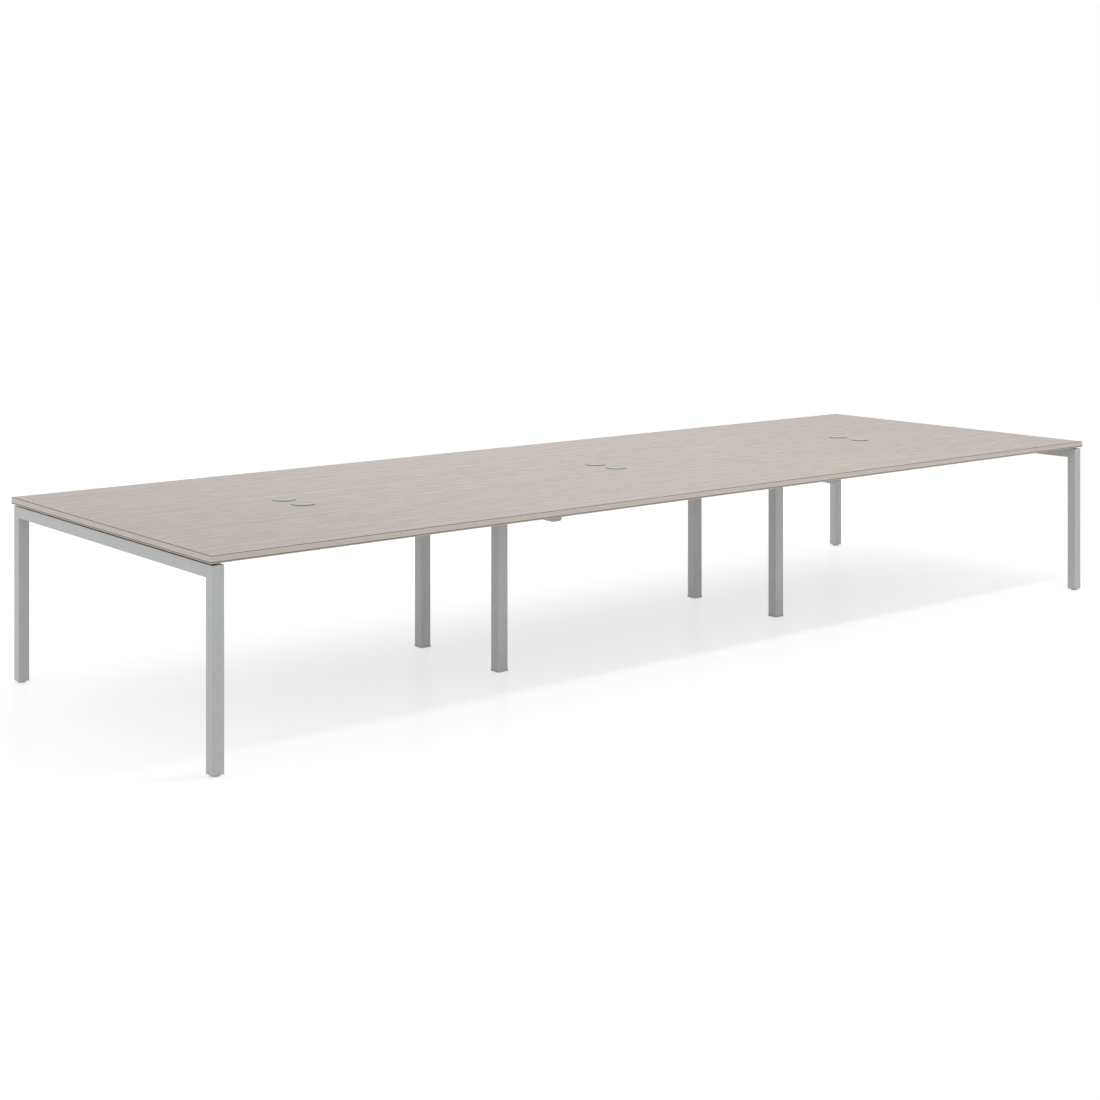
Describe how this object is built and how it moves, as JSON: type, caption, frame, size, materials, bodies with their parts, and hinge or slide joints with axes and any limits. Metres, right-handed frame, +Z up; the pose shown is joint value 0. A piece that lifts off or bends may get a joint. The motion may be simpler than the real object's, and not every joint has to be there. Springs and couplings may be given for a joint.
{
  "type": "coworking desk",
  "caption": "Long bench desk: laminated worktops back to back in a row on square-tube end portals and inset trestles, with cable grommets and levelling feet.",
  "frame": {"origin": "on the floor under the middle of the desk", "axes": "+X along the row of bays, +Y across the row to the back, +Z up"},
  "size_m": [4.799, 1.599, 0.7302],
  "materials": {
    "worktop_laminate": "matt grey-beige wood-grain laminate on particle board",
    "edge_band": "satin edge banding with a fine grain",
    "frame_paint": "fine-textured silver-grey powder coat",
    "cap_plastic": "matt moulded plastic",
    "foot_plastic": "matt moulded plastic",
    "grommet_plastic": "silver-grey moulded plastic",
    "spacer_plastic": "black moulded plastic",
    "zinc_steel": "bright zinc plate"
  },
  "bodies": {
    "desk": {"beam_bay1_back": "frame_paint", "beam_bay1_front": "frame_paint", "beam_bay2_back": "frame_paint", "beam_bay2_front": "frame_paint", "beam_bay3_back": "frame_paint", "beam_bay3_front": "frame_paint", "beam_bolts": "zinc_steel", "beam_end_plates": "frame_paint", "edge_bands_bay1_back": "edge_band", "edge_bands_bay1_front": "edge_band", "edge_bands_bay2_back": "edge_band", "edge_bands_bay2_front": "edge_band", "edge_bands_bay3_back": "edge_band", "edge_bands_bay3_front": "edge_band", "grommet_liner_bay1_back": "grommet_plastic", "grommet_liner_bay1_front": "grommet_plastic", "grommet_liner_bay2_back": "grommet_plastic", "grommet_liner_bay2_front": "grommet_plastic", "grommet_liner_bay3_back": "grommet_plastic", "grommet_liner_bay3_front": "grommet_plastic", "left_portal_crossbar": "frame_paint", "left_portal_leg_back": "frame_paint", "left_portal_leg_front": "frame_paint", "left_trestle_arm": "frame_paint", "left_trestle_leg_back": "frame_paint", "left_trestle_leg_front": "frame_paint", "portal_leg_plugs": "cap_plastic", "right_portal_crossbar": "frame_paint", "right_portal_leg_back": "frame_paint", "right_portal_leg_front": "frame_paint", "right_trestle_arm": "frame_paint", "right_trestle_leg_back": "frame_paint", "right_trestle_leg_front": "frame_paint", "rivet_nuts": "zinc_steel", "threaded_inserts": "zinc_steel", "trestle_arm_caps": "cap_plastic", "trestle_leg_caps": "cap_plastic", "worktop_bay1_back": "worktop_laminate", "worktop_bay1_front": "worktop_laminate", "worktop_bay2_back": "worktop_laminate", "worktop_bay2_front": "worktop_laminate", "worktop_bay3_back": "worktop_laminate", "worktop_bay3_front": "worktop_laminate", "worktop_screws": "zinc_steel", "worktop_spacers": "spacer_plastic"},
    "left_portal_foot_front": {"left_portal_foot_front": "foot_plastic"},
    "left_portal_foot_back": {"left_portal_foot_back": "foot_plastic"},
    "left_trestle_foot_front": {"left_trestle_foot_front": "foot_plastic"},
    "left_trestle_foot_back": {"left_trestle_foot_back": "foot_plastic"},
    "right_portal_foot_front": {"right_portal_foot_front": "foot_plastic"},
    "right_portal_foot_back": {"right_portal_foot_back": "foot_plastic"},
    "right_trestle_foot_front": {"right_trestle_foot_front": "foot_plastic"},
    "right_trestle_foot_back": {"right_trestle_foot_back": "foot_plastic"},
    "grommet_lid_bay1_front": {"grommet_lid_bay1_front": "grommet_plastic"},
    "grommet_lid_bay1_back": {"grommet_lid_bay1_back": "grommet_plastic"},
    "grommet_lid_bay2_front": {"grommet_lid_bay2_front": "grommet_plastic"},
    "grommet_lid_bay2_back": {"grommet_lid_bay2_back": "grommet_plastic"},
    "grommet_lid_bay3_front": {"grommet_lid_bay3_front": "grommet_plastic"},
    "grommet_lid_bay3_back": {"grommet_lid_bay3_back": "grommet_plastic"}
  },
  "joints": [
    {"name": "left_portal_foot_front_thread", "type": "slide", "parent": "desk", "child": "left_portal_foot_front", "axis": [0, 0, -1], "range_m": [-0.0005, 0.015]},
    {"name": "left_portal_foot_back_thread", "type": "slide", "parent": "desk", "child": "left_portal_foot_back", "axis": [0, 0, -1], "range_m": [-0.0005, 0.015]},
    {"name": "left_trestle_foot_front_thread", "type": "slide", "parent": "desk", "child": "left_trestle_foot_front", "axis": [0, 0, -1], "range_m": [-0.001, 0.015]},
    {"name": "left_trestle_foot_back_thread", "type": "slide", "parent": "desk", "child": "left_trestle_foot_back", "axis": [0, 0, -1], "range_m": [-0.001, 0.015]},
    {"name": "right_portal_foot_front_thread", "type": "slide", "parent": "desk", "child": "right_portal_foot_front", "axis": [0, 0, -1], "range_m": [-0.0005, 0.015]},
    {"name": "right_portal_foot_back_thread", "type": "slide", "parent": "desk", "child": "right_portal_foot_back", "axis": [0, 0, -1], "range_m": [-0.0005, 0.015]},
    {"name": "right_trestle_foot_front_thread", "type": "slide", "parent": "desk", "child": "right_trestle_foot_front", "axis": [0, 0, -1], "range_m": [-0.001, 0.015]},
    {"name": "right_trestle_foot_back_thread", "type": "slide", "parent": "desk", "child": "right_trestle_foot_back", "axis": [0, 0, -1], "range_m": [-0.001, 0.015]},
    {"name": "grommet_lid_bay1_front_lift", "type": "slide", "parent": "desk", "child": "grommet_lid_bay1_front", "axis": [0, 0, 1], "range_m": [0, 0.03]},
    {"name": "grommet_lid_bay1_back_lift", "type": "slide", "parent": "desk", "child": "grommet_lid_bay1_back", "axis": [0, 0, 1], "range_m": [0, 0.03]},
    {"name": "grommet_lid_bay2_front_lift", "type": "slide", "parent": "desk", "child": "grommet_lid_bay2_front", "axis": [0, 0, 1], "range_m": [0, 0.03]},
    {"name": "grommet_lid_bay2_back_lift", "type": "slide", "parent": "desk", "child": "grommet_lid_bay2_back", "axis": [0, 0, 1], "range_m": [0, 0.03]},
    {"name": "grommet_lid_bay3_front_lift", "type": "slide", "parent": "desk", "child": "grommet_lid_bay3_front", "axis": [0, 0, 1], "range_m": [0, 0.03]},
    {"name": "grommet_lid_bay3_back_lift", "type": "slide", "parent": "desk", "child": "grommet_lid_bay3_back", "axis": [0, 0, 1], "range_m": [0, 0.03]}
  ]
}
